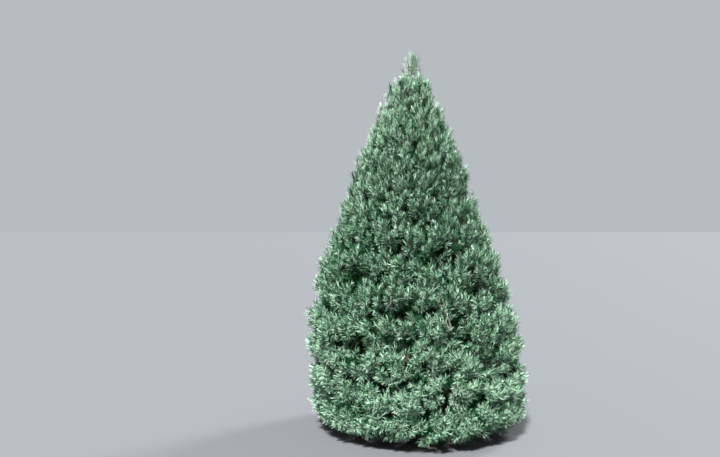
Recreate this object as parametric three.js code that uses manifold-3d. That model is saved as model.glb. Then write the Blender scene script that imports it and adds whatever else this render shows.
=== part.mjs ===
// A farm-grown Scots pine: a sheared, cone-shaped crown of blue-green needles that reaches down
// to the ground, on one straight trunk with yearly whorls of boughs.
// Millimetres, +Z up. The origin is the centre of the flat cut under the trunk, at ground level.
// +X is to the right and +Y away from someone who faces the tree's front.
import * as THREE from "three";
import { mergeVertices } from "three/addons/utils/BufferGeometryUtils.js";
import Module from "manifold-3d";

const wasm = await Module();
wasm.setup();

// The crown's outline: its radius at each height, from the skirt to the leader's bud.
const CROWN = [
  [80, 790], [300, 842], [800, 812], [1200, 716], [1700, 525], [2200, 347],
  [2450, 226], [2610, 150], [2660, 66], [2800, 45], [2850, 12],
];
const FULLER_SIDE = 0.04; // the lower crown is this much fuller on its +X side
const FULLER_BELOW = 1000; // and as much thinner on the other, from the ground to this height

// The trunk.
const TRUNK_TOP = 2780;
const TRUNK_RADIUS = 48; // above the root flare
const TRUNK_TIP_RADIUS = 4;
const FLARE = 27; // how far the roots swell the foot
const FLARE_HEIGHT = 75; // the height over which the swelling dies away
const ROOT_LOBES = 5;
const LOBE_DEPTH = 0.3; // share of the flare
const TRUNK_SIDES = 12;
const TRUNK_RINGS = 14;
const RING_CROWDING = 1.8; // 1 spaces the rings evenly, more crowds them towards the flare
const LEAN = 40; // the trunk leans this far towards -X
const LEAN_HEIGHT = 1400; // and is upright again above this height
const LEADER_START = 2400;
const LEADER_BEND = 25; // the leader bends back towards +X by this much

// The yearly whorls, from the ground up. rise is the boughs' slope in degrees, turn the azimuth of
// the first bough, and tufts the number of tufts across and up the outer face of each mass.
// The three upper whorls are too short for a bare bough: their foliage grows from the trunk.
const WHORLS = [
  { height: 190, rise: 8, boughs: 6, turn: 12, tufts: [4, 2], bareBough: true },
  { height: 535, rise: 14, boughs: 6, turn: 40, tufts: [4, 2], bareBough: true },
  { height: 880, rise: 22, boughs: 5, turn: 20, tufts: [4, 2], bareBough: true },
  { height: 1225, rise: 31, boughs: 5, turn: 58, tufts: [3, 2], bareBough: true },
  { height: 1570, rise: 41, boughs: 5, turn: 24, tufts: [3, 2], bareBough: false },
  { height: 1915, rise: 51, boughs: 4, turn: 65, tufts: [3, 2], bareBough: false },
  { height: 2260, rise: 62, boughs: 3, turn: 35, tufts: [3, 1], bareBough: false },
];
const TURN_JITTER = 5; // degrees, either way
const SKIRT = 120; // height of the lowest whorl's underside at the trunk
const SKIRT_DROOP = 0.05; // and how much that falls with each millimetre outwards
const LEADER_BORDER = 2340; // the height at the trunk of the border under the leader's own space
const LEADER_BORDER_SLOPE = 3.8;
const BORDER_WAVE = 38; // the borders between whorls rise and fall by this much
const BORDER_WAVES = 5; // this many times round the crown
const SEAM_WAVE = 6; // the borders between boughs sway by this many degrees, either way

// Boughs and the stems that carry on from them.
const BOUGH_RADIUS = 14; // at the trunk, in the lowest whorl
const TOP_BOUGH_RADIUS = 6; // in the highest whorl
const BOUGH_TAPER = 0.3; // share of the radius left where a stem ends
const BOUGH_SHARE = 0.46; // share of the way to the crown's outline where a bough enters its mass
const STEM_SHARE = 0.8; // and where the stem inside the mass ends
const BOUGH_SWAY = 0.06; // sideways bend, as a share of the space's width
const BOUGH_SAG = 0.16; // how low a bough runs in its space
const BOUGH_SIDES = 6;
const BOUGH_RINGS = 3;
const STEM_SIDES = 4;
const STEM_RINGS = 2;
const GAP = 0.3; // between solids that meet

// Masses of foliage. A mass has a dense core, and tufts of sprays that stand out of it.
// The core's profile, from the middle of its outer face round the rim to its inner point: the
// share of the space's width that it takes there, and the share of the way out that it reaches.
const CORE_PROFILE = [[0, 0.8], [0.58, 0.8], [0.95, 0.74], [0.88, 0.56], [0, 0.47]];
const CORE_SIDES = 10;
const CORE_SQUARENESS = 0.75; // 0 is a round core, 1 one that fills its space's corners
const CORE_SWELL = 0.05; // share by which the core swells under a tuft
const TUFT_HUB = 0.64; // share of the way out where a tuft's sprays begin
const HUB_DROP = 0.4; // how much lower that is than the tuft, as a share of half the space's height
const LOWEST_HUB = -0.85; // but no lower in the space than this
const HUB_SPREAD = 0.5; // how far apart they begin, as a share of how far apart they end
const FORKS = [0.3, 0.8]; // how far up the stem inside a core a side tuft's twig, and a middle one's, starts
const TUFT_STAGGER = 0.15; // share of a tuft's width by which the rows are shifted, by turns either way
const TUFT_JITTER = 0.2; // share of a tuft's width by which it is out of line
const TUFT_LIMIT = [0.85, 0.8]; // the furthest a tuft's middle lies across and up its space
const TUFT_DOME = 0.07; // share of the reach by which a tuft's rim is lower than its middle
const TWIG_RADIUS = 5;
const TWIG_SIDES = 3;
const SPRAYS = [2, 1]; // sprays in a tuft, by turns
const FIRST_SPRAY = 0.25; // 0 puts a tuft's first spray in its middle, 0.5 spreads them all evenly
const SPRAY_LIMIT = [0.96, 0.94]; // the furthest a spray's tip lies across and up its space
const SPRAY_WIDTH = 150; // in the lowest whorl
const TOP_SPRAY_WIDTH = 90; // in the highest whorl
const SPRAY_TEETH = 3; // round a spray's tip
// How far a tooth, and the notch between two, stand out from the spray's axis, and how far along it.
const SPRAY_TOOTH = [0.5, 0.86];
const SPRAY_NOTCH = [0.14, 0.6];
const SPRAY_FITS = [1, 0.8, 0.6, 0.45]; // widths tried until a spray keeps to its space
const CLEARANCE = 7; // foliage keeps this far inside its own space
const GROUND_CLEARANCE = 20;

// The dark hollows that show in the crown's front: across from the trunk, height, and half size.
const HOLLOW_DEPTH = 0.2; // share of the crown's radius
const HOLLOWS = [
  { across: 0, height: 1647, wide: 85, high: 45 },
  { across: -451, height: 1236, wide: 110, high: 50 },
  { across: -130, height: 1408, wide: 75, high: 45 },
  { across: 220, height: 1312, wide: 120, high: 60 },
  { across: 466, height: 1127, wide: 90, high: 50 },
  { across: -150, height: 997, wide: 110, high: 45 },
  { across: 295, height: 846, wide: 80, high: 70 },
  { across: -116, height: 790, wide: 75, high: 65 },
  { across: -486, height: 736, wide: 100, high: 50 },
  { across: 542, height: 606, wide: 90, high: 60 },
];

// The leader: the trunk's last year of growth, ringed with sprays.
const LEADER_CORE = [[2475, 9], [2560, 20], [2680, 22], [2790, 17], [2822, 4]];
const LEADER_SPRAYS = 18;
const LEADER_SPRAY_LENGTH = [160, 80]; // of the first and the last
const LEADER_SPRAY_WIDTH = [40, 22];
const LEADER_SPRAY_RISE = 60; // degrees
const LEADER_FIRST_SPRAY = 2540;
const LEADER_LAST_SPRAY = 2790;

const SMALLEST_EDGE = 3; // shorter edges left by the joining are smoothed away
const SEED = 1822;
const GOLDEN_ANGLE = Math.PI * (3 - Math.sqrt(5));
const BARK = { color: 0x6f5a48, roughness: 0.95, metalness: 0 };
const NEEDLES = { color: 0x4f7a62, roughness: 0.7, metalness: 0 };

const { lerp, clamp, smoothstep, degToRad, euclideanModulo } = THREE.MathUtils;
const vector = (x, y, z) => new THREE.Vector3(x, y, z);
const within = (value, limit) => clamp(value, -limit, limit);

// A stream of numbers from 0 to 1 that is the same for the same seed.
function seeded(seed) {
  let state = seed >>> 0;
  return () => {
    state = (Math.imul(state, 1664525) + 1013904223) >>> 0;
    return state / 2 ** 32;
  };
}

// Reads a list of [place, value] pairs at a place, straight between them and level past the ends.
function along(pairs, place) {
  const next = pairs.findIndex(([at]) => at > place);
  if (next === 0) return pairs[0][1];
  if (next < 0) return pairs.at(-1)[1];
  const [a, va] = pairs[next - 1];
  const [b, vb] = pairs[next];
  return lerp(va, vb, (place - a) / (b - a));
}

// The trunk's centre line: a slight lean, with the leader bent back.
function trunkCentre(z) {
  const bend = Math.max(0, (z - LEADER_START) / (TRUNK_TOP - LEADER_START));
  return vector(LEADER_BEND * bend * bend - LEAN * smoothstep(z, 0, LEAN_HEIGHT), 0, z);
}

function trunkRadius(z, angle) {
  const taper = lerp(TRUNK_RADIUS, TRUNK_TIP_RADIUS, Math.min(1, z / TRUNK_TOP));
  const lobes = 1 + LOBE_DEPTH * Math.cos(ROOT_LOBES * angle);
  return taper + FLARE * lobes * Math.exp(-z / FLARE_HEIGHT);
}

// How deep the hollows of the front cut into the crown here, as a share of its radius.
function hollowDepth(z, azimuth, radius) {
  if (Math.sin(azimuth) > 0) return 0;
  const across = radius * Math.cos(azimuth);
  const pits = HOLLOWS.map(
    (pit) => Math.exp(-(((across - pit.across) / pit.wide) ** 2) - ((z - pit.height) / pit.high) ** 2),
  );
  return HOLLOW_DEPTH * Math.max(...pits);
}

function crownRadius(z, azimuth) {
  const fuller = 1 + FULLER_SIDE * Math.cos(azimuth) * Math.max(0, 1 - z / FULLER_BELOW);
  return along(CROWN, z) * fuller;
}

// The border under a whorl's space, halfway between its boughs and those of the whorl below.
function borderHeight(level, radius, azimuth) {
  if (level === 0) return SKIRT - SKIRT_DROOP * radius;
  const wave = BORDER_WAVE * (radius / CROWN[2][1]) * Math.sin(BORDER_WAVES * azimuth + 2 * level);
  if (level === WHORLS.length) return LEADER_BORDER + LEADER_BORDER_SLOPE * radius;
  const [under, over] = [WHORLS[level - 1], WHORLS[level]];
  const slope = (Math.tan(degToRad(under.rise)) + Math.tan(degToRad(over.rise))) / 2;
  return (under.height + over.height) / 2 + slope * radius + wave;
}

// The space of each mass: a level, the azimuth of its bough, and the half angles either side of it.
function spacesOf(whorl, level) {
  const random = seeded(SEED + level);
  const step = 360 / whorl.boughs;
  const turns = Array.from(
    { length: whorl.boughs },
    (_, i) => degToRad(whorl.turn + i * step + TURN_JITTER * (2 * random() - 1)),
  );
  const phases = turns.map(() => 2 * Math.PI * random());
  return turns.map((azimuth, i) => {
    const before = (i + turns.length - 1) % turns.length;
    const after = (i + 1) % turns.length;
    return {
      level,
      whorl,
      number: i + 1,
      azimuth,
      left: euclideanModulo(azimuth - turns[before], 2 * Math.PI) / 2,
      right: euclideanModulo(turns[after] - azimuth, 2 * Math.PI) / 2,
      leftPhase: phases[before],
      rightPhase: phases[i],
    };
  });
}

// The angles from a bough to the borders of its space, v up it.
function sideAngles(space, v) {
  const sway = (phase) => degToRad(SEAM_WAVE) * Math.sin(Math.PI * v + phase);
  return [space.left - sway(space.leftPhase), space.right + sway(space.rightPhase)];
}

// A point of a space: u across it and v up it, both from -1 to 1, and w out from the trunk's
// centre line to the crown's outline, from 0 to 1.
function placeIn(space, u, v, w) {
  const [left, right] = sideAngles(space, v);
  const azimuth = space.azimuth + u * (u < 0 ? left : right);
  const heightAt = (radius) => {
    const floor = borderHeight(space.level, radius, azimuth);
    return lerp(floor, borderHeight(space.level + 1, radius, azimuth), (v + 1) / 2);
  };
  let [near, far] = [0, CROWN[1][1] * 1.2];
  for (let i = 0; i < 30; i++) {
    const middle = (near + far) / 2;
    if (middle < crownRadius(heightAt(middle), azimuth)) near = middle;
    else far = middle;
  }
  const z = heightAt(near * w);
  const outward = vector(Math.cos(azimuth), Math.sin(azimuth), 0);
  return trunkCentre(z).addScaledVector(outward, near * w);
}

// Whether a point lies in a space, with the clearance to spare.
function isInside(space, point) {
  const centre = trunkCentre(point.z);
  const radius = Math.hypot(point.x - centre.x, point.y - centre.y);
  const azimuth = Math.atan2(point.y - centre.y, point.x - centre.x);
  const floor = borderHeight(space.level, radius, azimuth);
  const ceiling = borderHeight(space.level + 1, radius, azimuth);
  const [left, right] = sideAngles(space, (2 * (point.z - floor)) / (ceiling - floor) - 1);
  const turn = euclideanModulo(azimuth - space.azimuth + Math.PI, 2 * Math.PI) - Math.PI;
  const margin = CLEARANCE / Math.max(radius, 1);
  return (
    turn > margin - left && turn < right - margin &&
    point.z > Math.max(GROUND_CLEARANCE, floor + CLEARANCE) && point.z < ceiling - CLEARANCE
  );
}

// The centre line of a bough and of the stem that carries on from it: low in its space, then rising.
function limbLine(space, w) {
  const sway = BOUGH_SWAY * Math.sin(Math.PI * w) * (space.number % 2 ? 1 : -1);
  return placeIn(space, sway, -BOUGH_SAG * Math.sin(Math.PI * Math.min(1, w / STEM_SHARE)), w);
}

function limbRadius(space, w) {
  const thick = lerp(BOUGH_RADIUS, TOP_BOUGH_RADIUS, space.level / (WHORLS.length - 1));
  return thick * lerp(1, BOUGH_TAPER, w / STEM_SHARE);
}

// Turns a closed geometry into a solid.
function solidOf(geometry) {
  geometry.deleteAttribute("normal");
  geometry.deleteAttribute("uv");
  const merged = mergeVertices(geometry, 1e-3);
  return new wasm.Manifold(
    new wasm.Mesh({
      numProp: 3,
      vertProperties: new Float32Array(merged.getAttribute("position").array),
      triVerts: new Uint32Array(merged.index.array),
    }),
  );
}

// A closed cylinder bent along a line: place(t) gives its centre and radius(t, angle) its
// radius, for t from 0 to 1. Its ends are square to the line, or level if asked.
function bentCylinder(place, radius, sides, rings, level = false) {
  const geometry = new THREE.CylinderGeometry(1, 1, 1, sides, rings);
  const position = geometry.getAttribute("position");
  const step = 1e-3;
  for (let i = 0; i < position.count; i++) {
    const t = position.getY(i) + 0.5;
    const [x, z] = [position.getX(i), position.getZ(i)];
    const ahead = place(t + step).sub(place(t - step)).normalize();
    const facing = level ? vector(0, 0, 1) : ahead;
    const side = level ? vector(1, 0, 0) : vector(0, 0, 1).cross(facing).normalize();
    const other = side.clone().cross(facing);
    const reach = radius(t, Math.atan2(z, x)); // a cap's centre has no reach of its own
    const point = place(t).addScaledVector(side, x * reach).addScaledVector(other, z * reach);
    position.setXYZ(i, point.x, point.y, point.z);
  }
  return solidOf(geometry);
}

function trunkSolid(extra) {
  const top = TRUNK_TOP + extra;
  const heightAt = (t) => top * clamp(t, 0, 1) ** RING_CROWDING;
  return bentCylinder(
    (t) => trunkCentre(heightAt(t)),
    (t, angle) => trunkRadius(heightAt(t), angle) + extra / Math.cos(Math.PI / TRUNK_SIDES),
    TRUNK_SIDES,
    TRUNK_RINGS,
    true,
  );
}

function limbSolid(space, from, to, sides, rings) {
  return bentCylinder(
    (t) => limbLine(space, lerp(from, to, t)),
    (t) => limbRadius(space, lerp(from, to, t)),
    sides,
    rings,
  );
}

function twigSolid(from, to) {
  return bentCylinder((t) => from.clone().lerp(to, t), () => TWIG_RADIUS, TWIG_SIDES, 1);
}

// A spray of needles: a slim core that opens out into teeth round its tip.
function sprayGeometry(root, tip, width, twist) {
  const geometry = new THREE.SphereGeometry(1, 2 * SPRAY_TEETH, 2);
  const position = geometry.getAttribute("position");
  const axis = tip.clone().sub(root);
  const turn = new THREE.Quaternion().setFromUnitVectors(vector(0, 1, 0), axis.clone().normalize());
  for (let i = 0; i < position.count; i++) {
    const height = Math.round(position.getY(i)); // 1 at the tip, -1 at the root, 0 between them
    const across = vector(position.getX(i), 0, position.getZ(i));
    const corner = Math.round((Math.atan2(across.z, across.x) / Math.PI) * SPRAY_TEETH);
    const [out, share] = height === 0 ? (corner % 2 ? SPRAY_NOTCH : SPRAY_TOOTH) : [0, (1 + height) / 2];
    across.setLength(out * width).applyAxisAngle(vector(0, 1, 0), twist).applyQuaternion(turn);
    const point = root.clone().addScaledVector(axis, share).add(across);
    position.setXYZ(i, point.x, point.y, point.z);
  }
  return geometry;
}

// The corners of a geometry, and the middles of the lines between them.
function probes(geometry) {
  const position = geometry.getAttribute("position");
  const corners = Array.from(
    { length: position.count },
    (_, i) => vector().fromBufferAttribute(position, i),
  );
  return corners.flatMap((a) => corners.map((b) => a.clone().lerp(b, 0.5)));
}

// The tufts of a mass: a staggered grid on its outer face, each a little out of line.
function tuftsOf(space) {
  const [across, up] = space.whorl.tufts;
  const tufts = [];
  for (let row = 0; row < up; row++) {
    for (let column = 0; column < across; column++) {
      const random = seeded(SEED + 1009 * space.level + 101 * space.number + 11 * row + column);
      random();
      const [ju, jv] = [TUFT_JITTER * (2 * random() - 1), TUFT_JITTER * (2 * random() - 1)];
      const stagger = row % 2 ? TUFT_STAGGER : -TUFT_STAGGER;
      tufts.push({
        u: within((2 * (column + 0.5 + stagger + ju)) / across - 1, TUFT_LIMIT[0]),
        v: within((2 * (row + 0.5 + jv)) / up - 1, TUFT_LIMIT[1]),
        wide: 1 / across,
        high: 1 / up,
        phase: 2 * Math.PI * random(),
      });
    }
  }
  return tufts;
}

// How far out a tuft reaches at a point of its patch: a dome, less the hollows of the crown's front.
function reachAt(space, u, v, share) {
  const edge = placeIn(space, u, v, 1);
  const centre = trunkCentre(edge.z);
  const azimuth = Math.atan2(edge.y - centre.y, edge.x - centre.x);
  const radius = Math.hypot(edge.x - centre.x, edge.y - centre.y);
  return 1 - TUFT_DOME * share * share - hollowDepth(edge.z, azimuth, radius);
}

// The sprays of a tuft, each from its root to its tip. The tips are spread over the tuft's patch
// as seeds are in a sunflower's head.
function spraysOf(space, tuft, count) {
  return Array.from({ length: count }, (_, i) => {
    const share = Math.sqrt((i + FIRST_SPRAY) / count);
    const angle = tuft.phase + i * GOLDEN_ANGLE;
    const u = within(tuft.u + tuft.wide * share * Math.cos(angle), SPRAY_LIMIT[0]);
    const v = within(tuft.v + tuft.high * share * Math.sin(angle), SPRAY_LIMIT[1]);
    const reach = reachAt(space, u, v, share);
    const low = Math.max(lerp(tuft.v, v, HUB_SPREAD) - HUB_DROP, LOWEST_HUB);
    const root = placeIn(space, lerp(tuft.u, u, HUB_SPREAD), low, TUFT_HUB * reach);
    return { root, tip: placeIn(space, u, v, reach) };
  });
}

// The dense inside of a mass: a sphere drawn out to fill its space, swollen under each tuft.
function coreSolid(space, tufts) {
  const rings = CORE_PROFILE.length - 1;
  const geometry = new THREE.SphereGeometry(1, CORE_SIDES, rings);
  const position = geometry.getAttribute("position");
  for (let i = 0; i < position.count; i++) {
    // The sphere's +Y pole becomes the middle of the outer face, and its -Y pole the inner point.
    const [x, y, z] = [position.getX(i), position.getY(i), position.getZ(i)];
    const [spread, share] = CORE_PROFILE[Math.round((Math.acos(clamp(y, -1, 1)) / Math.PI) * rings)];
    const angle = Math.atan2(z, -x) + Math.PI / CORE_SIDES;
    const [acrossIt, upIt] = [Math.cos(angle), Math.sin(angle)];
    const square = spread / Math.max(Math.abs(acrossIt), Math.abs(upIt)) ** CORE_SQUARENESS;
    const [u, v] = [square * acrossIt, square * upIt];
    const swells = tufts.map(
      (tuft) => Math.exp(-(((u - tuft.u) / tuft.wide) ** 2) - ((v - tuft.v) / tuft.high) ** 2),
    );
    const reach = reachAt(space, u, v, 0) + CORE_SWELL * Math.max(...swells);
    const point = placeIn(space, u, v, share * (share > TUFT_HUB ? reach : 1));
    position.setXYZ(i, point.x, point.y, point.z);
  }
  return solidOf(geometry);
}

// The largest body of a solid: a scrap that a cut or a skipped twig left loose is dropped.
function largestBody(solid) {
  return solid.decompose().sort((a, b) => b.volume() - a.volume())[0];
}

// A spray that keeps to its space, or nothing where none fits.
function fittedSpray(space, root, tip, width, twist) {
  const sprays = SPRAY_FITS.map((fit) => sprayGeometry(root, tip, width * fit, twist));
  return sprays.find((spray) => probes(spray).every((point) => isInside(space, point)));
}

function massSolid(space, trunkSpace) {
  const tufts = tuftsOf(space);
  const start = space.whorl.bareBough ? BOUGH_SHARE + GAP / stemSpan(space) : 0;
  const width = lerp(SPRAY_WIDTH, TOP_SPRAY_WIDTH, space.level / (WHORLS.length - 1));
  const pieces = [limbSolid(space, start, STEM_SHARE, STEM_SIDES, STEM_RINGS), coreSolid(space, tufts)];
  tufts.forEach((tuft, turn) => {
    const low = Math.max(tuft.v - HUB_DROP, LOWEST_HUB);
    const hub = placeIn(space, tuft.u, low, TUFT_HUB * reachAt(space, tuft.u, tuft.v, 0));
    const upStem = lerp(FORKS[1], FORKS[0], Math.abs(tuft.u));
    const fork = limbLine(space, lerp(CORE_PROFILE.at(-1)[1], STEM_SHARE, upStem));
    pieces.push(twigSolid(fork, hub));
    spraysOf(space, tuft, SPRAYS[turn % SPRAYS.length]).forEach(({ root, tip }, i) => {
      const spray = fittedSpray(space, root, tip, width, tuft.phase + i);
      if (spray) pieces.push(solidOf(spray));
    });
  });
  return largestBody(wasm.Manifold.union(pieces).simplify(SMALLEST_EDGE).subtract(trunkSpace));
}

// The length of a limb's whole line, which turns a gap into a share of it.
function stemSpan(space) {
  return limbLine(space, BOUGH_SHARE).distanceTo(limbLine(space, BOUGH_SHARE + 0.01)) / 0.01;
}

function leaderSolid(trunkSpace) {
  const [bottom, top] = [LEADER_CORE[0][0], LEADER_CORE.at(-1)[0]];
  const sides = 6;
  const rings = 5;
  const core = bentCylinder(
    (t) => trunkCentre(lerp(bottom, top, t)),
    (t) => along(LEADER_CORE, lerp(bottom, top, t)),
    sides,
    rings,
    true,
  );
  const rise = degToRad(LEADER_SPRAY_RISE);
  const pieces = [core];
  for (let i = 0; i < LEADER_SPRAYS; i++) {
    const share = i / (LEADER_SPRAYS - 1);
    const angle = i * GOLDEN_ANGLE;
    const lift = lerp(rise, Math.PI / 2, share ** 6);
    const way = vector(Math.cos(angle) * Math.cos(lift), Math.sin(angle) * Math.cos(lift), Math.sin(lift));
    const root = trunkCentre(lerp(LEADER_FIRST_SPRAY, LEADER_LAST_SPRAY, share));
    const room = (CROWN.at(-1)[0] - root.z) / Math.sin(lift);
    const tip = root.clone().addScaledVector(way, Math.min(lerp(...LEADER_SPRAY_LENGTH, share), room));
    pieces.push(solidOf(sprayGeometry(root, tip, lerp(...LEADER_SPRAY_WIDTH, share), i)));
  }
  return largestBody(wasm.Manifold.union(pieces).subtract(trunkSpace));
}

function meshOf(name, solid, look) {
  const { numProp, numVert, vertProperties, triVerts } = solid.getMesh();
  const positions = new Float32Array(numVert * 3);
  for (let i = 0; i < numVert; i++) {
    positions.set(vertProperties.subarray(i * numProp, i * numProp + 3), i * 3);
  }
  const geometry = new THREE.BufferGeometry();
  geometry.setAttribute("position", new THREE.BufferAttribute(positions, 3));
  geometry.setIndex(new THREE.BufferAttribute(triVerts, 1));
  const flat = geometry.toNonIndexed();
  flat.computeVertexNormals();
  const mesh = new THREE.Mesh(flat, new THREE.MeshStandardMaterial(look));
  mesh.name = name;
  return mesh;
}

const tree = new THREE.Group();
tree.name = "pine_tree";
const trunkSpace = trunkSolid(GAP * 1.2);
tree.add(meshOf("trunk", trunkSolid(0), BARK));
WHORLS.forEach((whorl, level) => {
  for (const space of spacesOf(whorl, level)) {
    const place = `${level + 1}_${space.number}`;
    if (whorl.bareBough) {
      const bough = limbSolid(space, 0, BOUGH_SHARE, BOUGH_SIDES, BOUGH_RINGS).subtract(trunkSpace);
      tree.add(meshOf(`bough_${place}`, largestBody(bough), BARK));
    }
    tree.add(meshOf(`foliage_${place}`, massSolid(space, trunkSpace), NEEDLES));
  }
});
tree.add(meshOf("foliage_leader", leaderSolid(trunkSpace), NEEDLES));

export default tree;
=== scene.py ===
# The looks of a farm-grown Scots pine: bark with relief, twigs, and needles in brush-like shoots.
# Metres, +Z up. The tree grows by the same rule as its solids: a whorl's bough, the stem in its mass,
# a twig to each tuft, and the tuft's sprays. Only these looks carry it on, to each spray's shoots and
# the needles round them.
import math

import bpy
import numpy as np
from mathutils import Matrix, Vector, noise

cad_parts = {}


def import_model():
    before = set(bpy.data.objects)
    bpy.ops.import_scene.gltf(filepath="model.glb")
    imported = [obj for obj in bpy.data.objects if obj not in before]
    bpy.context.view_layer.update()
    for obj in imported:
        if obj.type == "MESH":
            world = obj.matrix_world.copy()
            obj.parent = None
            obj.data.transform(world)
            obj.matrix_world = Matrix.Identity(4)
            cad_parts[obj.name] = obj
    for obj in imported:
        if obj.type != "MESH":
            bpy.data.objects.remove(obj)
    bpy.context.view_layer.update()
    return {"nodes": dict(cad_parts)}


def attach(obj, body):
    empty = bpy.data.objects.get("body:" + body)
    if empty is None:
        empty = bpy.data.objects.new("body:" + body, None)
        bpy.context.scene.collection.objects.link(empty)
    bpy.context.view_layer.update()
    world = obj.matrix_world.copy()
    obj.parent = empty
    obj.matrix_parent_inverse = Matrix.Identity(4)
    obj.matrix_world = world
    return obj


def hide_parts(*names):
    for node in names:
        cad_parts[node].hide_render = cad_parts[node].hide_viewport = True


# The crown's outline: heights and the radius at each, from the skirt to the leader's bud.
CROWN_HEIGHT = [0.08, 0.3, 0.8, 1.2, 1.7, 2.2, 2.45, 2.61, 2.66, 2.8, 2.85]
CROWN_RADIUS = [0.79, 0.842, 0.812, 0.716, 0.525, 0.347, 0.226, 0.15, 0.066, 0.045, 0.012]
FURTHEST = 1.0  # the crown ends nearer to the trunk than this
HALVINGS = 30  # of that distance, to find where
FULLER_SIDE = 0.04  # the lower crown is this much fuller on its +X side
FULLER_BELOW = 1.0  # and as much thinner on the other, from the ground to this height

# The trunk.
TRUNK_TOP = 2.78
TRUNK_RADIUS = 0.048  # above the root flare
TRUNK_TIP_RADIUS = 0.004
FLARE = 0.027  # how far the roots swell the foot
FLARE_HEIGHT = 0.075  # the height over which the swelling dies away
ROOT_LOBES = 5
LOBE_DEPTH = 0.3  # share of the flare
LEAN = 0.04  # the trunk leans this far towards -X
LEAN_HEIGHT = 1.4  # and is upright again above this height
LEADER_START = 2.4
LEADER_BEND = 0.025  # the leader bends back towards +X by this much

# The yearly whorls, from the ground up. rise is the boughs' slope in degrees, turn the azimuth of the
# first bough, and tufts the number of tufts across and up the outer face of each mass.
WHORLS = [
    {"height": 0.19, "rise": 8, "boughs": 6, "turn": 12, "tufts": (4, 2), "bare": True},
    {"height": 0.535, "rise": 14, "boughs": 6, "turn": 40, "tufts": (4, 2), "bare": True},
    {"height": 0.88, "rise": 22, "boughs": 5, "turn": 20, "tufts": (4, 2), "bare": True},
    {"height": 1.225, "rise": 31, "boughs": 5, "turn": 58, "tufts": (3, 2), "bare": True},
    {"height": 1.57, "rise": 41, "boughs": 5, "turn": 24, "tufts": (3, 2), "bare": False},
    {"height": 1.915, "rise": 51, "boughs": 4, "turn": 65, "tufts": (3, 2), "bare": False},
    {"height": 2.26, "rise": 62, "boughs": 3, "turn": 35, "tufts": (3, 1), "bare": False},
]
TURN_JITTER = 5  # degrees, either way
SKIRT = 0.12  # height of the lowest whorl's underside at the trunk
SKIRT_DROOP = 0.05  # and how much that falls with each metre outwards
LEADER_BORDER = 2.34  # the height at the trunk of the border under the leader's own space
LEADER_BORDER_SLOPE = 3.8
BORDER_WAVE = 0.038  # the borders between whorls rise and fall by this much
BORDER_WAVES = 5  # this many times round the crown
WIDEST = 0.8  # and most this far out
SEAM_WAVE = 6  # the borders between boughs sway by this many degrees, either way

# Boughs and the stems that carry on from them.
BOUGH_RADIUS = 0.014  # at the trunk, in the lowest whorl
TOP_BOUGH_RADIUS = 0.006  # in the highest whorl
BOUGH_TAPER = 0.3  # share of the radius left where a stem ends
STEM_START = 0.47  # share of the way to the crown's outline where the stem inside a mass starts
STEM_SHARE = 0.8  # and where it ends
BOUGH_SWAY = 0.06  # sideways bend, as a share of the space's width
BOUGH_SAG = 0.16  # how low a bough runs in its space

# Tufts and sprays. Places across and up a mass run from -1 to 1.
TUFT_HUB = 0.64  # share of the way out where a tuft's sprays begin
HUB_DROP = 0.4  # how much lower that is than the tuft, as a share of half the space's height
LOWEST_HUB = -0.85  # but no lower in the space than this
HUB_SPREAD = 0.5  # how far apart they begin, as a share of how far apart they end
FORKS = (0.3, 0.8)  # how far up the stem a side tuft's twig, and a middle one's, starts
TUFT_STAGGER = 0.15  # share of a tuft's width by which the rows are shifted, by turns either way
TUFT_JITTER = 0.2  # share of a tuft's width by which it is out of line
TUFT_LIMIT = (0.85, 0.8)  # the furthest a tuft's middle lies across and up its space
TUFT_DOME = 0.07  # share of the reach by which a tuft's rim is lower than its middle
SPRAYS = 4  # in a tuft
FIRST_SPRAY = 0.25  # 0 puts a tuft's first spray in its middle, 0.5 spreads them all evenly
SPRAY_LIMIT = (0.96, 0.94)  # the furthest a spray's tip lies across and up its space

HOLLOW_DEPTH = 0.2  # share of the crown's radius
# The dark hollows of the crown's front: across from the trunk, height, half width and half height.
HOLLOWS = [
    (0, 1.647, 0.085, 0.045),
    (-0.451, 1.236, 0.11, 0.05),
    (-0.13, 1.408, 0.075, 0.045),
    (0.22, 1.312, 0.12, 0.06),
    (0.466, 1.127, 0.09, 0.05),
    (-0.15, 0.997, 0.11, 0.045),
    (0.295, 0.846, 0.08, 0.07),
    (-0.116, 0.79, 0.075, 0.065),
    (-0.486, 0.736, 0.1, 0.05),
    (0.542, 0.606, 0.09, 0.06),
]

# The leader's side shoots.
LEADER_SHOOTS = 18
LEADER_SHOOT_LENGTH = (0.16, 0.08)  # of the first and the last
LEADER_SHOOT_RISE = 60  # degrees, of the first
LEADER_RISE_CURVE = 6  # the higher, the fewer of the last ones stand upright
LEADER_FIRST_SHOOT = 2.54
LEADER_LAST_SHOOT = 2.79
LEADER_TIP = 2.85
LEADER_NEEDLED = [2.5, 2.8]  # the trunk has needles of its own between these heights

SEED = 1822  # of the growth rule, as in the solids
SEED_STEPS = (1009, 101, 11)  # from whorl to whorl, mass to mass and row to row of tufts
STREAM = (1664525, 1013904223)  # factor and step of the generator that the solids use too
LOOKS_SEED = 1825  # of what only the looks have
GOLDEN_ANGLE = math.pi * (3 - math.sqrt(5))

# Shoots, which the solids don't have. Where a value is a pair, the first is for the ground and the
# second for the tree's top, unless its comment says otherwise.
AREA_GRID = 9  # lines each way across a mass's outer face, to measure its area
SCATTER = (1.32472, 1.75488)  # the plastic number and its square: they scatter places evenly
SHOOT_PATCH = (0.0023, 0.0015)  # area of the crown's outside for each outer shoot
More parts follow.
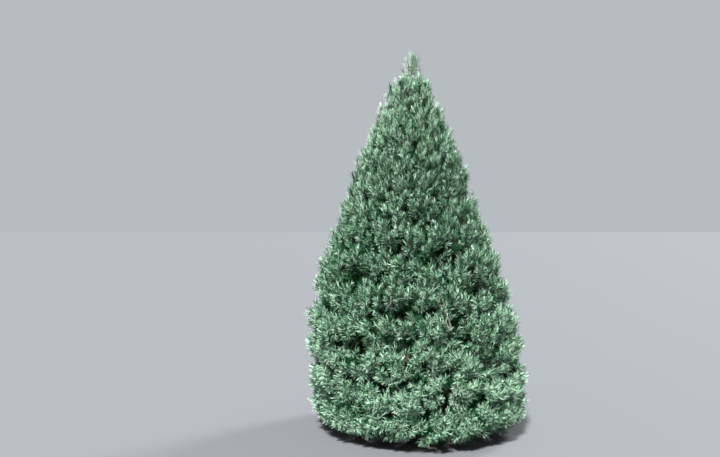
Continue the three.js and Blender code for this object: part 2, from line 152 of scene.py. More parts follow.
# What a distance across a mass, and one up it, counts for in the form of its tufts: cushions below, and
# upright plumes above.
ACROSS_COUNTS = (0.6, 1)
UP_COUNTS = (1, 0.65)
UNDER_COUNTS = (1.7, 1.3)  # and how much more one counts under a tuft, which is bare there
SHOOT_LENGTH = 0.1  # from where a spray divides to its tips
SPRAY_DOME = 0.03  # share of the reach by which a spray's rim is lower than its middle
INSET = (0.006, 0.022)  # how far inside the crown's outline shoots end
UPTURN = (0.1, 0.6)  # how far shoots turn up at their tips
WANDER = 0.17  # how far a shoot strays from its direction
UNEVEN = (0.0085, 0.04)  # how much shoots differ in length
LONGEST = 2.5  # most that one is longer, counted in these
BARE_HOLLOW = 0.3  # share of the outer shoots that the middle of a hollow lacks
SHADED_PATCH = 0.0039  # area of the crown's outside for each shoot that ends inside, in the shade
SHADED_REACH = (0.68, 0.95)  # least and most share of the way out at which such shoots end
INNER_PATCH = 0.0075  # area for each that ends further in
INNER_REACH = (0.3, 0.68)  # least and most share for those
INNER_START = 0.7  # share of such a shoot's reach at which it leaves the stem

# Twigs: radii at their start and end, and sides.
TUFT_TWIG = (0.005, 0.0035, 5)
SPRAY_STEM = (0.0032, 0.0024, 4)
SHOOT_FOOT = (0.0024, 0.0019, 3)  # up to its first needles
SHOOT = (0.0019, 0.00114, 3)
DEAD_TWIG = (0.0022, 0.0011, 5)
# The bare dead twigs of the front, as places across from the trunk and heights.
DEAD_TWIGS = [
    [(0.208, 0.834), (0.195, 0.9), (0.185, 0.926), (0.17, 0.998), (0.146, 1.07)],
    [(0.192, 0.841), (0.175, 0.887), (0.185, 0.926)],
    [(0.17, 0.998), (0.146, 0.993)],
    [(-0.16, 1.03), (-0.12, 1.038), (-0.06, 1.043)],
    [(-0.205, 0.985), (-0.185, 1.002), (-0.178, 1.03)],
]

# Needles.
NEEDLED = 0.07  # needled length of a shoot, back from its tip
MOST_NEEDLED = 0.8  # share of a short shoot that is needled
NEEDLED_RANGE = (0.8, 1.1)  # least and most share of its needled length that a shoot gets
NEEDLE_LENGTH = 0.042
NEEDLE_RANGE = (0.82, 1.1)  # least and most share of that
PAST_TIP = 0.8  # share of a needle's length by which the last ones stand past their shoot
NEEDLE_OPENING = (86, 29)  # degrees between needle and shoot, where the needles begin and at the tip
OPENING_CURVE = 1.6  # 1 closes them evenly, more keeps the first ones wide open
OPENING_JITTER = 8  # degrees
ROUND_JITTER = 0.2  # radians round the shoot
TOP_WIDTH = 0.75  # share of a needle's width at the tree's top
NEEDLE_POINT = 0.5  # share of a needle's width that is left at its tip
NEEDLE_TWIST = 0.8  # how far a needle's tip is twisted, 1 being 45 degrees
# Needles on each kind of shoot, their width, and the share of their opening at the tree's top.
OUTER_NEEDLES = (50, 0.0042, 0.55)
SHADED_NEEDLES = (36, 0.007, 0.8)
INNER_NEEDLES = (34, 0.0105, 0.8)
STEM_NEEDLES = (20, 0.0065, 0.8)
LEADER_NEEDLES = (36, 0.0034, 1)
LEADER_TIP_NEEDLES = (300, 0.0034, 0.9)

# The share of the outer needles that are pale, a painted highlight, at some heights: most at the top.
HIGHLIGHT_HEIGHT = [0.4, 1.1, 1.8, 2.45]
HIGHLIGHT_SHARE = [0.41, 0.3, 0.34, 0.67]
# The outer needles' tints: colour, gloss, and the share of those that aren't pale. The pale tint is a
# painted highlight, and the near-black deep tint is painted shade.
TINTS = {
    "needles_painted_highlight": ((0.355, 0.54, 0.38), 0.6, 0),
    "needles_blue": ((0.046, 0.16, 0.095), 0.6, 0.19),
    "needles_green": ((0.06, 0.18, 0.07), 0.6, 0.16),
    "needles_grey": ((0.12, 0.25, 0.16), 0.6, 0.13),
    "needles_painted_shade": ((0.003, 0.032, 0.01), 0.2, 0.52),
}
OUTER_ROUGHNESS = 0.33
SAME_TINT = 0.1  # share of a shoot's needles that have the shoot's own tint
# The other needles: colour, roughness and gloss. The shaded look's near-black green is painted shade.
SHADED_LOOK = ((0.007, 0.055, 0.017), 0.6, 0.15)
OLD_LOOK = ((0.062, 0.052, 0.032), 0.7, 0.15)
OLD_SHARE = 0.04  # of the shaded shoots have old, brown needles
OLD_BELOW = 1.4  # but only below this height

# Bark's meshes: sides, rings, how far the relief stands out as a share of the radius, and its scale.
TRUNK_MESH = (36, 150, 0.07, 9)
TRUNK_CROWDING = 1.5  # 1 spaces the trunk's rings evenly, more crowds them towards the flare
BOUGH_MESH = (9, 26, 0.08, 30)
BOUGH_FOOT = 0.02  # share of the way out where a bough's mesh starts, inside the trunk
RELIEF_UP = 3  # the relief's scale along a tube, as against that round it
RELIEF_LAYERS = (1.0, 2.2, 4)  # how fast its layers fade, the step in scale between them, their number
FURROWS = 2.3  # the furrows' scale as against the plates'
CAP = 0.01  # a tube's end is closed by a ring of this share of the last one
# Bark's materials: colour in the furrows and on the plates, scale, and depth of the bump.
BARK = ((0.05, 0.037, 0.028), (0.2, 0.155, 0.115), 24, 0.004)
TWIG_BARK = ((0.045, 0.036, 0.026), (0.15, 0.12, 0.085), 60, 0.001)
DEAD_BARK = ((0.17, 0.15, 0.125), (0.36, 0.33, 0.28), 90, 0.001)

# Camera, light and floor. A sun has a strength, a width in degrees and the way it shines.
EYE = (-0.417, -5.6, 1.5)
SENSOR = 36  # millimetres, as is the lens
LENS = 36.9
KEY_SUN = (11.7, 7, (0.18, 0.63, -0.82))
BACK_SUN = (4, 15, (-0.6, -0.5, -0.6))
SKY_COLOR = (0.85, 0.9, 0.95)
SKY_STRENGTH = 0.56
FLOOR_SIZE = 600
FLOOR_COLOR = (0.114, 0.12, 0.127)

UPRIGHT = 0.9  # an axis with more of +Z than this is taken for upright
TINY = 1e-12  # keeps a length from being zero
NUDGE = 1e-4  # keeps the product of two parallel lines from being zero


# The growth rule

def seeded(seed):
    """A stream of numbers from 0 to 1 that is the same for the same seed."""
    factor, step = STREAM
    state = seed
    while True:
        state = (state * factor + step) % 2**32
        yield state / 2**32


def lerp(a, b, t):
    return a + (b - a) * t


def within(value, limit):
    return np.clip(value, -limit, limit)


def trunk_centre(z):
    """The trunk's centre line at some heights, as points."""
    z = np.asarray(z, float)
    bend = np.maximum(0, (z - LEADER_START) / (TRUNK_TOP - LEADER_START))
    t = np.clip(z / LEAN_HEIGHT, 0, 1)
    x = LEADER_BEND * bend * bend - LEAN * t * t * (3 - 2 * t)
    return np.stack([x, np.zeros_like(z), z], axis=-1)


def trunk_radius(z, angle):
    taper = lerp(TRUNK_RADIUS, TRUNK_TIP_RADIUS, np.minimum(1, z / TRUNK_TOP))
    lobes = 1 + LOBE_DEPTH * np.cos(ROOT_LOBES * angle)
    return taper + FLARE * lobes * np.exp(-z / FLARE_HEIGHT)


def crown_radius(z, azimuth):
    fuller = 1 + FULLER_SIDE * np.cos(azimuth) * np.maximum(0, 1 - z / FULLER_BELOW)
    return np.interp(z, CROWN_HEIGHT, CROWN_RADIUS) * fuller


def border_height(level, radius, azimuth):
    """The height of the border under a whorl's space."""
    if level == 0:
        return SKIRT - SKIRT_DROOP * radius
    if level == len(WHORLS):
        return LEADER_BORDER + LEADER_BORDER_SLOPE * radius
    under, over = WHORLS[level - 1], WHORLS[level]
    wave = BORDER_WAVE * (radius / WIDEST) * np.sin(BORDER_WAVES * azimuth + 2 * level)
    slope = (math.tan(math.radians(under["rise"])) + math.tan(math.radians(over["rise"]))) / 2
    return (under["height"] + over["height"]) / 2 + slope * radius + wave


def share_up(space):
    """How high a space's whorl is: 0 for the lowest, 1 for the highest."""
    return space["level"] / (len(WHORLS) - 1)


def spaces_of(whorl, level):
    """The space of each mass in a whorl: its bough's azimuth and the angles to its borders."""
    random = seeded(SEED + level)
    count = whorl["boughs"]
    turns = [
        math.radians(whorl["turn"] + i * 360 / count + TURN_JITTER * (2 * next(random) - 1))
        for i in range(count)
    ]
    phases = [2 * math.pi * next(random) for _ in turns]
    spaces = []
    for i, azimuth in enumerate(turns):
        before, after = (i - 1) % count, (i + 1) % count
        spaces.append({
            "level": level,
            "whorl": whorl,
            "number": i + 1,
            "azimuth": azimuth,
            "left": ((azimuth - turns[before]) % (2 * math.pi)) / 2,
            "right": ((turns[after] - azimuth) % (2 * math.pi)) / 2,
            "left_phase": phases[before],
            "right_phase": phases[i],
        })
    return spaces


def place_in(space, u, v, w):
    """Points of a space: u across and v up it, from -1 to 1, and w out from the trunk, 0 to 1."""
    u, v, w = np.broadcast_arrays(np.asarray(u, float), np.asarray(v, float), np.asarray(w, float))
    sway = math.radians(SEAM_WAVE)
    left = space["left"] - sway * np.sin(math.pi * v + space["left_phase"])
    right = space["right"] + sway * np.sin(math.pi * v + space["right_phase"])
    azimuth = space["azimuth"] + u * np.where(u < 0, left, right)

    def height_at(radius):
        low = border_height(space["level"], radius, azimuth)
        high = border_height(space["level"] + 1, radius, azimuth)
        return lerp(low, high, (v + 1) / 2)

    near = np.zeros(u.shape)
    far = np.full(u.shape, FURTHEST)
    for _ in range(HALVINGS):
        middle = (near + far) / 2
        inside = middle < crown_radius(height_at(middle), azimuth)
        near = np.where(inside, middle, near)
        far = np.where(inside, far, middle)
    z = height_at(near * w)
    outward = np.stack([np.cos(azimuth), np.sin(azimuth), np.zeros_like(azimuth)], axis=-1)
    return trunk_centre(z) + outward * (near * w)[..., None]


def hollow_at(space, u, v):
    """How far into a hollow of the front a point of a mass's outer face is, from 0 to 1."""
    edge = place_in(space, u, v, 1)
    from_centre = edge - trunk_centre(edge[..., 2])
    pits = [
        np.exp(-(((from_centre[..., 0] - place) / wide) ** 2) - ((edge[..., 2] - height) / high) ** 2)
        for place, height, wide, high in HOLLOWS
    ]
    return np.where(from_centre[..., 1] > 0, 0, np.max(pits, axis=0))


def reach_at(space, u, v, share):
    """How far out a tuft reaches at a point of its patch: a dome, less the front's hollows."""
    return 1 - TUFT_DOME * share**2 - HOLLOW_DEPTH * hollow_at(space, u, v)


def limb_line(space, w):
    """The centre line of a bough and of the stem that carries on from it."""
    w = np.asarray(w, float)
    sway = BOUGH_SWAY * np.sin(math.pi * w) * (1 if space["number"] % 2 else -1)
    return place_in(space, sway, -BOUGH_SAG * np.sin(math.pi * np.minimum(1, w / STEM_SHARE)), w)


def limb_radius(space, w):
    thick = lerp(BOUGH_RADIUS, TOP_BOUGH_RADIUS, share_up(space))
    return thick * lerp(1, BOUGH_TAPER, w / STEM_SHARE)


def tufts_of(space):
    """The tufts of a mass: a staggered grid on its outer face, each a little out of line."""
    across, up = space["whorl"]["tufts"]
    level_step, mass_step, row_step = SEED_STEPS
    mass_seed = SEED + level_step * space["level"] + mass_step * space["number"]
    tufts = []
    for row in range(up):
        for column in range(across):
            random = seeded(mass_seed + row_step * row + column)
            next(random)
            ju, jv = (TUFT_JITTER * (2 * next(random) - 1) for _ in range(2))
            stagger = TUFT_STAGGER if row % 2 else -TUFT_STAGGER
            tufts.append({
                "u": within(2 * (column + 0.5 + stagger + ju) / across - 1, TUFT_LIMIT[0]),
                "v": within(2 * (row + 0.5 + jv) / up - 1, TUFT_LIMIT[1]),
                "wide": 1 / across,
                "high": 1 / up,
                "phase": 2 * math.pi * next(random),
            })
    return tufts


def hub_of(space, tuft):
    """Where the twig to a tuft ends and its sprays begin."""
    low = max(tuft["v"] - HUB_DROP, LOWEST_HUB)
    return place_in(space, tuft["u"], low, TUFT_HUB * reach_at(space, tuft["u"], tuft["v"], 0))


def sprays_of(space, tuft):
    """A tuft's sprays, spread as seeds are in a sunflower: places on its patch, roots and tips."""
    i = np.arange(SPRAYS)
    share = np.sqrt((i + FIRST_SPRAY) / SPRAYS)
    angle = tuft["phase"] + i * GOLDEN_ANGLE
    u = within(tuft["u"] + tuft["wide"] * share * np.cos(angle), SPRAY_LIMIT[0])
    v = within(tuft["v"] + tuft["high"] * share * np.sin(angle), SPRAY_LIMIT[1])
    reach = reach_at(space, u, v, share)
    low = np.maximum(lerp(tuft["v"], v, HUB_SPREAD) - HUB_DROP, LOWEST_HUB)
    roots = place_in(space, lerp(tuft["u"], u, HUB_SPREAD), low, TUFT_HUB * reach)
    return u, v, roots, place_in(space, u, v, reach)


# The growth that only these looks have

def unit(vectors):
    return vectors / np.maximum(np.linalg.norm(vectors, axis=-1, keepdims=True), TINY)


def face_area(space):
    """The area of a mass's outer face."""
    grid = np.linspace(-1, 1, AREA_GRID)
    u, v = np.meshgrid(grid, grid, indexing="ij")
    points = place_in(space, u, v, 1)
    sides = np.diff(points, axis=0)[:, :-1], np.diff(points, axis=1)[:-1]
    return np.linalg.norm(np.cross(*sides), axis=-1).sum()


def scattered(count, random):
    """Places evenly scattered over a mass's outer face, across and up."""
    i = np.arange(count)
    u = (i / SCATTER[0] + random.random()) % 1
    v = (i / SCATTER[1] + random.random()) % 1
    return 2 * u - 1, 2 * v - 1


def nearest(space, tufts, places, u, v):
    """The nearest of some places to each of others, and how far it is, in half widths of a tuft."""
    share = share_up(space)
    aside = (u[:, None] - places[0]) / tufts[0]["wide"]
    up = (v[:, None] - places[1]) / tufts[0]["high"]
    up = np.where(up < 0, lerp(*UNDER_COUNTS, share), 1) * up
    distance = np.hypot(lerp(*ACROSS_COUNTS, share) * aside, lerp(*UP_COUNTS, share) * up)
    return distance.argmin(axis=1), distance.min(axis=1)


def outer_shoots(space, tufts, middles, sprays, area, random):
    """The outer shoots, as starts and ends, and the places in hollows that are left without one."""
    su, sv, forks = sprays
    u, v = scattered(round(area / lerp(*SHOOT_PATCH, share_up(space))), random)
    kept = random.random(len(u)) > BARE_HOLLOW * hollow_at(space, u, v)
    bare = u[~kept], v[~kept]
    u, v = u[kept], v[kept]
    spray, from_spray = nearest(space, tufts, (su, sv), u, v)
    _, from_tuft = nearest(space, tufts, middles, u, v)
    reach = reach_at(space, u, v, np.minimum(1, from_tuft)) - SPRAY_DOME * np.minimum(1, from_spray) ** 2
    tips = place_in(space, u, v, reach)
    outward = (tips - trunk_centre(tips[:, 2])) * [1, 1, 0]
    tips = tips - unit(outward) * lerp(*INSET, share_up(space))
    return np.stack([forks[spray], tips], axis=1), bare


def shaded_shoots(space, tufts, middles, hubs, bare, area, random):
    """Shoots that end inside the outer ones, from the tufts' hubs, and more where those are lacking."""
    u, v = scattered(round(area / SHADED_PATCH), random)
    u, v = np.append(u, bare[0]), np.append(v, bare[1])
    tuft, _ = nearest(space, tufts, middles, u, v)
    reach = random.uniform(*SHADED_REACH, len(u)) * reach_at(space, u, v, 0)
    return np.stack([hubs[tuft], place_in(space, u, v, reach)], axis=1)


def inner_shoots(space, bare, area, random):
    """Shoots that end further in, from the stem."""
    u, v = scattered(round(area / INNER_PATCH), random)
    u, v = np.append(u, bare[0]), np.append(v, bare[1])
    reach = random.uniform(*INNER_REACH, len(u))
    return np.stack([limb_line(space, INNER_START * reach), place_in(space, u, v, reach)], axis=1)


def grow_mass(space, random):
    """A mass's twigs, as starts and ends: to its tufts, the sprays' stems and the shoots."""
    tufts = tufts_of(space)
    middles = np.array([tuft["u"] for tuft in tufts]), np.array([tuft["v"] for tuft in tufts])
    hubs = np.array([hub_of(space, tuft) for tuft in tufts])
    up_stem = lerp(FORKS[1], FORKS[0], np.abs(middles[0]))
    starts = limb_line(space, lerp(STEM_START, STEM_SHARE, up_stem))
    sprays = zip(*[sprays_of(space, tuft) for tuft in tufts])
    su, sv, roots, tips = (np.concatenate(part) for part in sprays)
    forks = tips - unit(tips - roots) * SHOOT_LENGTH

    area = face_area(space)
    outer, bare = outer_shoots(space, tufts, middles, (su, sv, forks), area, random)
    return {
        "tuft": np.stack([starts, hubs], axis=1),
        "stem": np.stack([roots, forks], axis=1),
        "outer": outer,
        "shaded": shaded_shoots(space, tufts, middles, hubs, bare, area, random),
        "inner": inner_shoots(space, bare, area, random),
    }


def leader_shoots():
    """The leader's side shoots, as starts and ends."""
    share = np.linspace(0, 1, LEADER_SHOOTS)
    angle = np.arange(LEADER_SHOOTS) * GOLDEN_ANGLE
    lift = lerp(math.radians(LEADER_SHOOT_RISE), math.pi / 2, share**LEADER_RISE_CURVE)
    way = np.stack([np.cos(angle) * np.cos(lift), np.sin(angle) * np.cos(lift), np.sin(lift)], axis=-1)
    roots = trunk_centre(lerp(LEADER_FIRST_SHOOT, LEADER_LAST_SHOOT, share))
    length = np.minimum(lerp(*LEADER_SHOOT_LENGTH, share), (LEADER_TIP - roots[:, 2]) / np.sin(lift))
    return np.stack([roots, roots + way * length[:, None]], axis=1)


def leader_top():
    """The needled top of the trunk, as one shoot."""
    start, end = trunk_centre(LEADER_NEEDLED)
    return start[None], unit(end - start)[None], np.array([np.linalg.norm(end - start)])


def on_front(across, height):
    """Points of the crown's front."""
    azimuth = -np.arccos(across / np.interp(height, CROWN_HEIGHT, CROWN_RADIUS))
    outward = np.stack([np.cos(azimuth), np.sin(azimuth), np.zeros_like(azimuth)], axis=-1)
    return trunk_centre(height) + outward * crown_radius(height, azimuth)[:, None]


def dead_twigs(hubs):
    """The bare twigs, each a line from the nearest hub."""
    lines = [on_front(*np.transpose(line)) for line in DEAD_TWIGS]
    nearest_hubs = [hubs[np.linalg.norm(hubs - line[0], axis=1).argmin()] for line in lines]
    return [np.concatenate([hub[None], line]) for hub, line in zip(nearest_hubs, lines)]


def needled_parts(twigs, random, uneven=1):
    """Where each shoot's needles start, its direction there and its needled length.

    With uneven at 0 the shoots keep their own lengths.
    """
    roots, tips = twigs[:, 0], twigs[:, 1]
    height = tips[:, 2:3] / TRUNK_TOP
    upturn = lerp(*UPTURN, height)
    axes = unit(unit(tips - roots) * (1 - upturn) + np.array([0, 0, 1.0]) * upturn)
    axes = unit(axes + random.normal(0, WANDER, axes.shape))
    lengths = np.minimum(NEEDLED, np.linalg.norm(tips - roots, axis=1) * MOST_NEEDLED)
    lengths = lengths * random.uniform(*NEEDLED_RANGE, len(tips))
    longer = np.minimum(random.exponential(1, (len(tips), 1)), LONGEST)
    ends = tips - axes * (NEEDLE_LENGTH * PAST_TIP + uneven * lerp(*UNEVEN, height) * (1 - longer))
    return ends - axes * lengths[:, None], axes, lengths


# Meshes

def frames(axes):
    """Two directions square to each axis and to each other."""
    helper = np.where(np.abs(axes[:, 2:3]) < UPRIGHT, [[0.0, 0.0, 1.0]], [[1.0, 0.0, 0.0]])
    side = unit(np.cross(axes, helper))
    return side, np.cross(axes, side)


def add_piece(name, points, faces, material, nodes, slot, smooth=False):
    """A mesh piece of the tree that stands for some of its solids."""
    mesh = bpy.data.meshes.new(name)
    size = faces.shape[1]
    mesh.vertices.add(len(points))
    mesh.vertices.foreach_set("co", np.ascontiguousarray(points, np.float32).ravel())
    mesh.loops.add(faces.size)
    mesh.loops.foreach_set("vertex_index", np.ascontiguousarray(faces, np.int32).ravel())
    mesh.polygons.add(len(faces))
    mesh.polygons.foreach_set("loop_start", np.arange(0, faces.size, size, dtype=np.int32))
    mesh.polygons.foreach_set("use_smooth", np.full(len(faces), smooth))
    mesh.update(calc_edges=True)
    mesh.materials.append(material)
    piece = bpy.data.objects.new(name, mesh)
    bpy.context.scene.collection.objects.link(piece)
    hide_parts(*nodes)
    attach(piece, "root")


def joined(parts):
    """Several sets of points and faces as one."""
    firsts = np.cumsum([0] + [len(points) for points, _ in parts[:-1]])
    faces = [faces + first for (_, faces), first in zip(parts, firsts)]
    return np.concatenate([points for points, _ in parts]), np.concatenate(faces)


def rods(starts, ends, start_radius, end_radius, sides):
    """Straight tapered twigs from starts to ends."""
    side, other = frames(unit(ends - starts))
    angles = np.arange(sides) * 2 * math.pi / sides
    ring = side[:, None] * np.cos(angles)[None, :, None] + other[:, None] * np.sin(angles)[None, :, None]
    near = starts[:, None] + ring * start_radius
    far = ends[:, None] + ring * end_radius
    k = np.arange(sides)
    quads = np.stack([k, (k + 1) % sides, sides + (k + 1) % sides, sides + k], axis=1)
    first = np.arange(len(starts))[:, None, None] * 2 * sides
    return np.concatenate([near, far], axis=1).reshape(-1, 3), (first + quads).reshape(-1, 4)


def bark_tube(centres, radii, sides, relief, scale):
    """A closed tube of quads along a line, with bark's relief pressed into it."""
    side, other = frames(unit(np.gradient(centres, axis=0)))
    angles = np.arange(sides) * 2 * math.pi / sides
    rings = []
    for i, centre in enumerate(centres):
        for angle in angles:
            out = side[i] * math.cos(angle) + other[i] * math.sin(angle)
            up = centre[2] * scale * RELIEF_UP
            spot = Vector((scale * math.cos(angle), scale * math.sin(angle), up))
            plates = noise.fractal(spot, *RELIEF_LAYERS) - abs(noise.noise(spot * FURROWS))
            rings.append(centre + out * radii(i, angle) * (1 + relief * plates))
    rings = np.array(rings).reshape(len(centres), sides, 3)
    caps = [lerp(centres[i], rings[i], CAP) for i in (0, -1)]
    points = np.concatenate([caps[:1], rings, caps[1:]]).reshape(-1, 3)
    k = np.arange(sides)
    ring = np.stack([k, (k + 1) % sides, sides + (k + 1) % sides, sides + k], axis=1)
    return points, (np.arange(len(centres) + 1)[:, None, None] * sides + ring).reshape(-1, 4)


def needle_blades(parts, needles, random):
    """The four corners of each needle round some shoots: a narrow, twisted blade."""
    starts, axes, lengths = parts
    count, width, top_opening = needles
    width = width * lerp(1, TOP_WIDTH, starts[:, 2] / TRUNK_TOP)[:, None, None]
    shape = (len(starts), count)
    share = (np.arange(count) + random.random(shape)) / count
    turn = np.arange(count) * GOLDEN_ANGLE + random.uniform(0, 2 * math.pi, (len(starts), 1))
    turn = turn + random.normal(0, ROUND_JITTER, shape)
    opening = lerp(*NEEDLE_OPENING, share**OPENING_CURVE) * lerp(1, top_opening, starts[:, 2:] / TRUNK_TOP)
    opening = np.radians(opening + random.normal(0, OPENING_JITTER, shape))[..., None]
    side, other = (vectors[:, None] for vectors in frames(axes))
    axis = axes[:, None]
    round_it = side * np.cos(turn)[..., None] + other * np.sin(turn)[..., None]
    direction = axis * np.cos(opening) + round_it * np.sin(opening)
    across = unit(np.cross(direction, axis + NUDGE))
    twisted = unit(across + NEEDLE_TWIST * np.cross(across, direction))
    foot = starts[:, None] + axis * (share * lengths[:, None])[..., None]
    tip = foot + direction * NEEDLE_LENGTH * random.uniform(*NEEDLE_RANGE, (*shape, 1))
    foot_side, tip_side = across * width / 2, twisted * NEEDLE_POINT * width / 2
    return np.stack([foot - foot_side, foot + foot_side, tip + tip_side, tip - tip_side], axis=2)


def add_needles(name, blades, look, masses):
    """A piece of needles that all look the same."""
    points = blades.reshape(-1, 3)
    corners = np.arange(0, len(points), 4)[:, None, None] + np.array([[0, 1, 2], [0, 2, 3]])
    material, _ = new_material(name, *look)
    add_piece(name, points, corners.reshape(-1, 3), material, masses, "needles")


# Materials

def new_material(name, color, roughness, specular):
    material = bpy.data.materials.new(name)
    material.use_nodes = True
    shader = material.node_tree.nodes["Principled BSDF"]
    shader.inputs["Base Color"].default_value = (*color, 1)
    shader.inputs["Roughness"].default_value = roughness
    shader.inputs["Specular IOR Level"].default_value = specular
    return material, shader


def bark_material(name, dark, light, scale, bump):
    """Flaking bark: dark furrows round paler plates, rough all over."""
    material, shader = new_material(name, dark, roughness=0.9, specular=0.25)
    nodes, links = material.node_tree.nodes, material.node_tree.links
    place = nodes.new("ShaderNodeTexCoord")
    stretch = nodes.new("ShaderNodeMapping")
    stretch.inputs["Scale"].default_value = (1, 1, 0.35)
    plates = nodes.new("ShaderNodeTexNoise")
    plates.inputs["Scale"].default_value = scale
    plates.inputs["Detail"].default_value = 8
    plates.inputs["Roughness"].default_value = 0.65
    tint = nodes.new("ShaderNodeValToRGB")
    tint.color_ramp.elements[0].position = 0.36
    tint.color_ramp.elements[0].color = (*dark, 1)
    tint.color_ramp.elements[1].position = 0.66
    tint.color_ramp.elements[1].color = (*light, 1)
    relief = nodes.new("ShaderNodeBump")
    relief.inputs["Strength"].default_value = 0.8
    relief.inputs["Distance"].default_value = bump
    links.new(place.outputs["Object"], stretch.inputs["Vector"])
    links.new(stretch.outputs["Vector"], plates.inputs["Vector"])
    links.new(plates.outputs["Fac"], tint.inputs["Fac"])
    links.new(tint.outputs["Color"], shader.inputs["Base Color"])
    links.new(plates.outputs["Fac"], relief.inputs["Height"])
    links.new(relief.outputs["Normal"], shader.inputs["Normal"])
    return material


# The pieces

def make_trunk(material):
    """The trunk with its root flare, from the cut to the leader's tip."""
    sides, rings, relief, scale = TRUNK_MESH
    heights = TRUNK_TOP * np.linspace(0, 1, rings) ** TRUNK_CROWDING
    points, quads = bark_tube(
        trunk_centre(heights), lambda i, angle: trunk_radius(heights[i], angle), sides, relief, scale
    )
    points[: 2 * sides, 2] = 0  # the cut is flat
    add_piece("trunk_bark", points, quads, material, ["trunk"], "bark", smooth=True)


def make_boughs(spaces, material):
    """The boughs and their stems, and in the upper whorls the stems that leave the trunk."""
    sides, rings, relief, scale = BOUGH_MESH
    shares = np.linspace(BOUGH_FOOT, STEM_SHARE, rings)
    tubes, nodes = [], []
    for space in spaces:
        radius = limb_radius(space, shares)
        tubes.append(bark_tube(limb_line(space, shares), lambda i, _: radius[i], sides, relief, scale))
        if space["whorl"]["bare"]:
            nodes.append(f"bough_{space['level'] + 1}_{space['number']}")
    add_piece("bough_bark", *joined(tubes), material, nodes, "bark", smooth=True)


def make_twigs(twigs, parts, material, masses):
    """The twigs to the tufts, the sprays' stems, and the shoots inside their needles."""
    made = [
        rods(twigs["tuft"][:, 0], twigs["tuft"][:, 1], *TUFT_TWIG),
        rods(twigs["stem"][:, 0], twigs["stem"][:, 1], *SPRAY_STEM),
    ]
    for kind in ("outer", "shaded", "inner", "leader"):
        starts, axes, lengths = parts[kind]
        made.append(rods(twigs[kind][:, 0], starts, *SHOOT_FOOT))
        made.append(rods(starts, starts + axes * lengths[:, None], *SHOOT))
    add_piece("twigs", *joined(made), material, masses, "bark")


def make_dead_twigs(lines, material, masses):
    """The bare dead twigs, each thinner towards its tip."""
    start_radius, end_radius, sides = DEAD_TWIG
    made = []
    for line in lines:
        radius = np.linspace(start_radius, end_radius, len(line))[:, None, None]
        made.append(rods(line[:-1], line[1:], radius[:-1], radius[1:], sides))
    add_piece("dead_twigs", *joined(made), material, masses, "bark")


def deal_tints(heights, shape, random):
    """A tint for each needle: its shoot's own, or another."""
    # The share of pale needles, a painted highlight, at each shoot's height.
    highlight_share = np.interp(heights, HIGHLIGHT_HEIGHT, HIGHLIGHT_SHARE)[:, None, None]
    edges = lerp(highlight_share, 1, np.cumsum([share for _, _, share in TINTS.values()])[:-1])
    own, other = random.random((shape[0], 1)), random.random(shape)
    draw = np.where(random.random(shape) < SAME_TINT, own, other)
    return (draw[..., None] > edges).sum(axis=-1)


def make_needles(parts, masses, random):
    """The outer and the leader's needles by their tints, then the shaded, inner, stems' and old ones."""
    groups = (
        (parts["outer"], OUTER_NEEDLES),
        (parts["leader"], LEADER_NEEDLES),
        (leader_top(), LEADER_TIP_NEEDLES),
    )
    dealt = []
    for part, needles in groups:
        blades = needle_blades(part, needles, random)
        dealt.append((blades, deal_tints(part[0][:, 2], blades.shape[:2], random)))
    # The pale piece is a painted highlight and the deep piece is painted shade.
    for number, (name, (color, gloss, _)) in enumerate(TINTS.items()):
        tinted = np.concatenate([blades[tint == number] for blades, tint in dealt])
        add_needles(name, tinted, (color, OUTER_ROUGHNESS, gloss), masses)
    shaded = needle_blades(parts["shaded"], SHADED_NEEDLES, random)
    old = (random.random(len(shaded)) < OLD_SHARE) & (parts["shaded"][0][:, 2] < OLD_BELOW)
    inner = needle_blades(parts["inner"], INNER_NEEDLES, random)
    stems = needle_blades(parts["stem"], STEM_NEEDLES, random)
    # The shaded, inner and stems' needles take a near-black green that is painted shade.
    add_needles("needles_shaded", shaded[~old], SHADED_LOOK, masses)
    add_needles("needles_inner", inner, SHADED_LOOK, masses)
    add_needles("needles_stem", stems, SHADED_LOOK, masses)
    add_needles("needles_old", shaded[old], OLD_LOOK, masses)


# Camera, light and floor

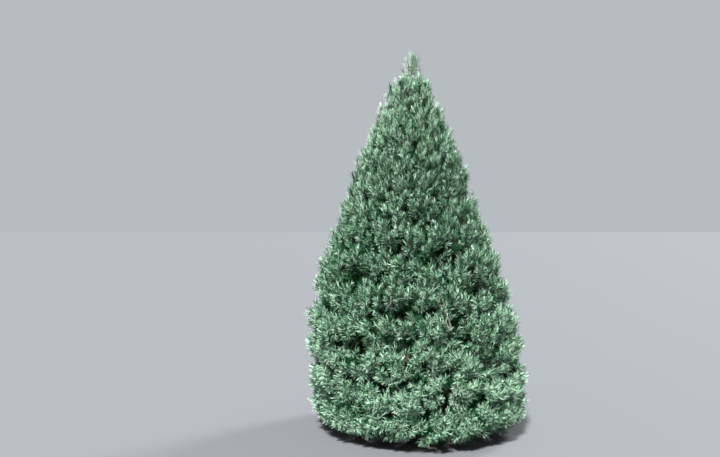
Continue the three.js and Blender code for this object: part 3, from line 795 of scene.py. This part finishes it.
def make_camera():
    camera = bpy.data.cameras.new("camera")
    camera.sensor_width = SENSOR
    camera.lens = LENS
    eye = bpy.data.objects.new("camera", camera)
    eye.location = EYE
    eye.rotation_euler = (math.radians(90), 0, 0)
    bpy.context.scene.collection.objects.link(eye)
    bpy.context.scene.camera = eye


def add_sun(name, energy, angle, way):
    sun = bpy.data.lights.new(name, "SUN")
    sun.energy = energy
    sun.angle = math.radians(angle)
    light = bpy.data.objects.new(name, sun)
    light.rotation_euler = Vector(way).to_track_quat("-Z", "Y").to_euler()
    bpy.context.scene.collection.objects.link(light)


def make_light():
    add_sun("key", *KEY_SUN)
    add_sun("back", *BACK_SUN)
    world = bpy.data.worlds.new("studio")
    world.use_nodes = True
    sky = world.node_tree.nodes["Background"]
    sky.inputs["Color"].default_value = (*SKY_COLOR, 1)
    sky.inputs["Strength"].default_value = SKY_STRENGTH
    bpy.context.scene.world = world


def make_floor():
    bpy.ops.mesh.primitive_plane_add(size=FLOOR_SIZE)
    floor = bpy.context.object
    floor.name = "floor"
    material, _ = new_material("floor", FLOOR_COLOR, roughness=0.9, specular=0.1)
    floor.data.materials.append(material)


def main():
    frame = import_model()
    masses = sorted(name for name in frame["nodes"] if name.startswith("foliage"))
    random = np.random.default_rng(LOOKS_SEED)
    spaces = [space for level, whorl in enumerate(WHORLS) for space in spaces_of(whorl, level)]

    bark = bark_material("bark", *BARK)
    make_trunk(bark)
    make_boughs(spaces, bark)

    grown = [grow_mass(space, random) for space in spaces]
    twigs = {kind: np.concatenate([mass[kind] for mass in grown]) for kind in grown[0]}
    twigs["leader"] = leader_shoots()
    parts = {kind: needled_parts(twigs[kind], random) for kind in ("outer", "shaded", "inner", "stem")}
    parts["leader"] = needled_parts(twigs["leader"], random, uneven=0)
    make_twigs(twigs, parts, bark_material("twig_bark", *TWIG_BARK), masses)
    dead_lines = dead_twigs(hubs=twigs["tuft"][:, 1])
    make_dead_twigs(dead_lines, bark_material("dead_bark", *DEAD_BARK), masses)
    make_needles(parts, masses, random)

    make_camera()
    make_light()
    make_floor()
    bpy.context.scene.view_settings.view_transform = "Standard"


main()
